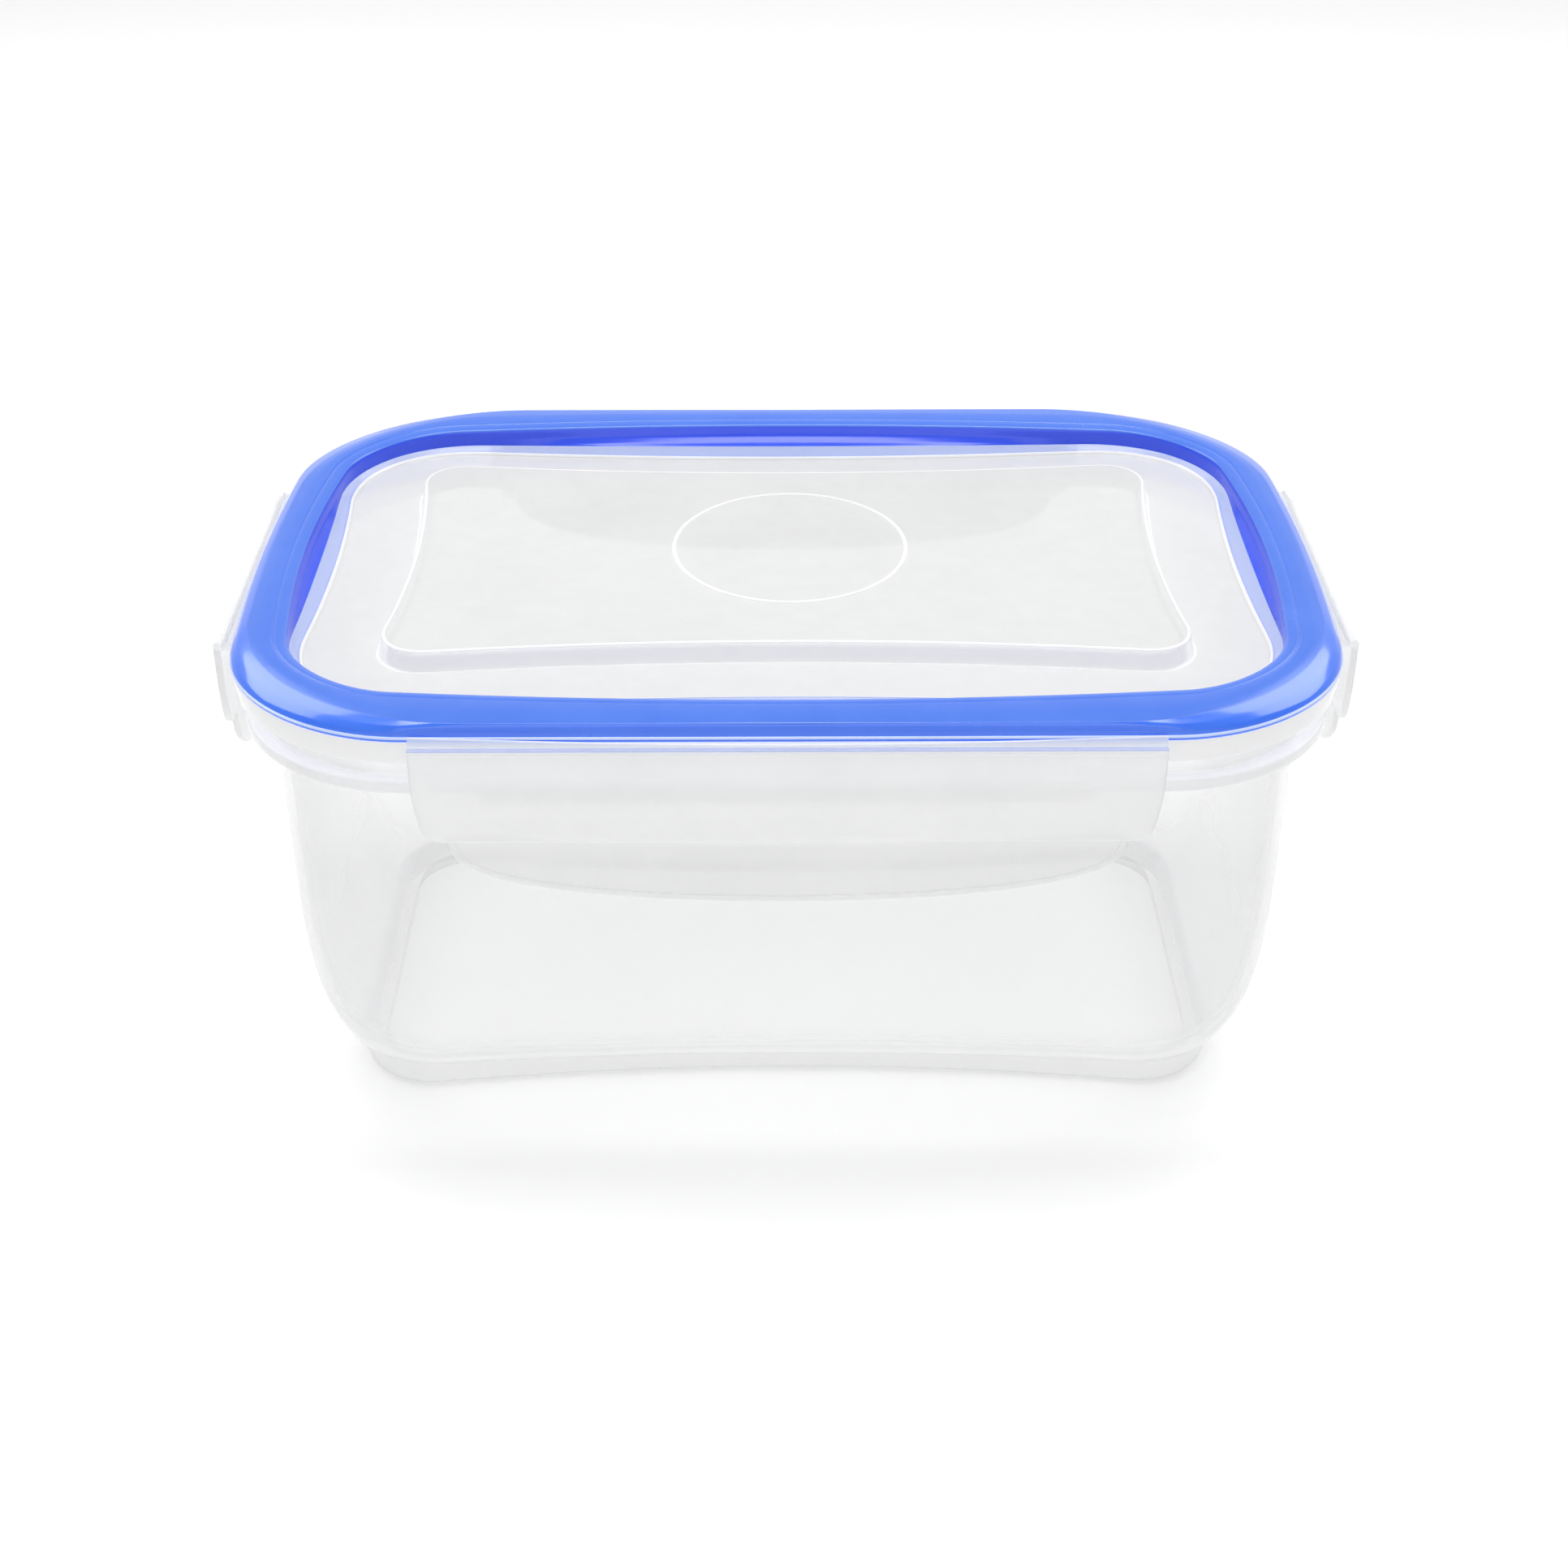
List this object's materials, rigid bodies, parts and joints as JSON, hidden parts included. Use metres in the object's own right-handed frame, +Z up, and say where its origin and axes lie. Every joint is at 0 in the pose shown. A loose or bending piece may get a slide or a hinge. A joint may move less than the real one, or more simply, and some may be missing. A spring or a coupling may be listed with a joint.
{
  "type": "snap lid food container",
  "caption": "Clear rectangular tub with a clear lid, a soft blue edge band, a seal ring and hinged latch flaps on every side.",
  "frame": {"origin": "centre of the underside of the foot, on the surface that the container stands on", "axes": "+Z up, +X along the long side, -Y towards the front"},
  "size_m": [0.2418, 0.165, 0.1133],
  "materials": {
    "tub_clear": "clear moulded polypropylene, slightly milky, glossy",
    "lid_clear": "clear moulded polypropylene, slightly milky, glossy",
    "band_blue": "soft thermoplastic elastomer, smooth and glossy",
    "seal_silicone": "translucent silicone, satin",
    "latch_clear": "clear moulded polypropylene, slightly milky, glossy"
  },
  "bodies": {
    "tub": {"tub": "tub_clear"},
    "lid": {"lid_panel": "lid_clear", "rim_band": "band_blue", "seal_gasket": "seal_silicone"},
    "front_latch": {"front_latch": "latch_clear"},
    "back_latch": {"back_latch": "latch_clear"},
    "left_latch": {"left_latch": "latch_clear"},
    "right_latch": {"right_latch": "latch_clear"}
  },
  "joints": [
    {"name": "lid_lift", "type": "slide", "parent": "tub", "child": "lid", "axis": [0, 0, 1], "range_m": [0, 0.096]},
    {"name": "front_latch_hinge", "type": "hinge", "parent": "lid", "child": "front_latch", "pos_m": [0, -0.0816, 0.108], "axis": [-1, 0, 0], "range_deg": [0, 150]},
    {"name": "back_latch_hinge", "type": "hinge", "parent": "lid", "child": "back_latch", "pos_m": [0, 0.0816, 0.108], "axis": [1, 0, 0], "range_deg": [0, 150]},
    {"name": "left_latch_hinge", "type": "hinge", "parent": "lid", "child": "left_latch", "pos_m": [-0.12, 0, 0.108], "axis": [0, 1, 0], "range_deg": [0, 150]},
    {"name": "right_latch_hinge", "type": "hinge", "parent": "lid", "child": "right_latch", "pos_m": [0.12, 0, 0.108], "axis": [0, -1, 0], "range_deg": [0, 150]}
  ]
}
